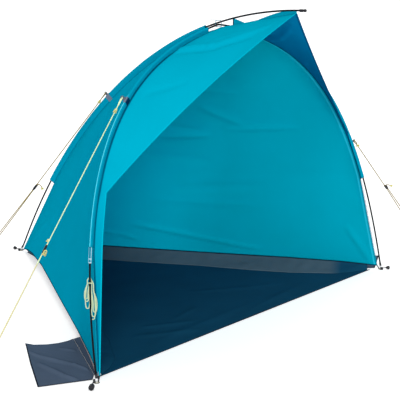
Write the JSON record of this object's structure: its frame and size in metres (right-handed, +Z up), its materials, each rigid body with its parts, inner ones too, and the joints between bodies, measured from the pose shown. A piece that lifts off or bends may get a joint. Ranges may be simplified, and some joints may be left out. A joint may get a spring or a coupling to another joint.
{
  "type": "pop up beach tent",
  "caption": "Open-fronted beach shelter: black spine and arch poles cross over two teal walls, a peaked visor and a sewn-in floor, with sand flaps and guy lines.",
  "frame": {"origin": "on the ground under the middle of the floor", "axes": "+X across the two front feet, to the right of someone looking in at the opening; -Y out of the opening; +Z up"},
  "size_m": [3.0006, 2.0316, 1.4064],
  "materials": {
    "teal_fabric": "smooth woven polyester",
    "navy_fabric": "coated groundsheet cloth",
    "grey_edge": "coated cloth",
    "grey_flap": "coated cloth",
    "dark_webbing": "woven webbing",
    "tab_webbing": "woven webbing",
    "strap_fabric": "woven tape",
    "yellow_cord": "braided cord",
    "grey_cord": "thin elastic cord",
    "pole_black": "smooth fibreglass",
    "ferrule_steel": "plated",
    "tip_steel": "polished",
    "peg_steel": "plated wire",
    "eyelet_brass": "dull plated",
    "black_plastic": "moulded",
    "pale_plastic": "moulded"
  },
  "bodies": {
    "shelter": {"arch_section_1": "pole_black", "arch_section_2": "pole_black", "arch_section_3": "pole_black", "arch_section_4": "pole_black", "arch_section_5": "pole_black", "arch_section_6": "pole_black", "arch_section_7": "pole_black", "arch_ferrules": "ferrule_steel", "spine_section_1": "pole_black", "spine_section_2": "pole_black", "spine_section_3": "pole_black", "spine_section_4": "pole_black", "spine_ferrules": "ferrule_steel", "foot_tip_left": "tip_steel", "foot_tip_right": "tip_steel", "foot_tip_rear": "tip_steel", "visor_end_cap": "black_plastic", "arch_sleeve_left": "teal_fabric", "arch_sleeve_right": "teal_fabric", "spine_sleeve": "teal_fabric", "sleeve_cuff": "pale_plastic", "left_wall": "teal_fabric", "right_wall": "teal_fabric", "visor_left": "teal_fabric", "visor_right": "teal_fabric", "tip_pocket": "teal_fabric", "crossing_strap": "strap_fabric", "crossing_cord": "grey_cord", "floor": "navy_fabric", "floor_edge_left": "grey_edge", "floor_edge_right": "grey_edge", "flap_skirts": "grey_edge", "corner_tab_left": "dark_webbing", "corner_tab_right": "dark_webbing", "corner_tab_rear": "dark_webbing", "eyelet_left": "eyelet_brass", "eyelet_right": "eyelet_brass", "eyelet_rear": "eyelet_brass", "guy_tab_left": "tab_webbing", "guy_tab_right": "tab_webbing", "guy_tab_rear": "tab_webbing", "guy_line_left": "yellow_cord", "guy_line_right": "yellow_cord", "guy_line_rear": "yellow_cord", "spare_cord_hank": "yellow_cord", "hank_tie": "yellow_cord"},
    "flap_left": {"sand_flap_left": "grey_flap"},
    "flap_right": {"sand_flap_right": "grey_flap"},
    "runner_left": {"runner_left": "black_plastic", "line_tail_left": "yellow_cord"},
    "peg_left": {"peg_left": "peg_steel", "peg_head_left": "black_plastic"},
    "runner_right": {"runner_right": "black_plastic", "line_tail_right": "yellow_cord"},
    "peg_right": {"peg_right": "peg_steel", "peg_head_right": "black_plastic"},
    "runner_rear": {"runner_rear": "black_plastic", "line_tail_rear": "yellow_cord"},
    "peg_rear": {"peg_rear": "peg_steel", "peg_head_rear": "black_plastic"}
  },
  "joints": [
    {"name": "sand_flap_left_hinge", "type": "hinge", "parent": "shelter", "child": "flap_left", "pos_m": [-0.99489, -0.60314, 0.0013], "axis": [0.5229, 0.8524, 0], "range_deg": [0, 70]},
    {"name": "sand_flap_right_hinge", "type": "hinge", "parent": "shelter", "child": "flap_right", "pos_m": [0.99489, -0.60314, 0.0013], "axis": [0.5229, -0.8524, 0], "range_deg": [0, 70]},
    {"name": "runner_left_slide", "type": "slide", "parent": "shelter", "child": "runner_left", "axis": [-0.3457, 0.3107, -0.8854], "range_m": [-0.15, 0]},
    {"name": "runner_right_slide", "type": "slide", "parent": "shelter", "child": "runner_right", "axis": [0.7943, 0.1857, -0.5785], "range_m": [-0.15, 0]},
    {"name": "runner_rear_slide", "type": "slide", "parent": "shelter", "child": "runner_rear", "axis": [-0.0624, 0.6723, -0.7376], "range_m": [-0.15, 0]},
    {"name": "peg_left_slide", "type": "slide", "parent": "shelter", "child": "peg_left", "axis": [-0.8131, -0.5822, 0], "range_m": [0, 0.06]},
    {"name": "peg_right_slide", "type": "slide", "parent": "shelter", "child": "peg_right", "axis": [0.8131, -0.5822, 0], "range_m": [0, 0.06]},
    {"name": "peg_rear_slide", "type": "slide", "parent": "shelter", "child": "peg_rear", "axis": [0, 1, 0], "range_m": [0, 0.06]}
  ]
}
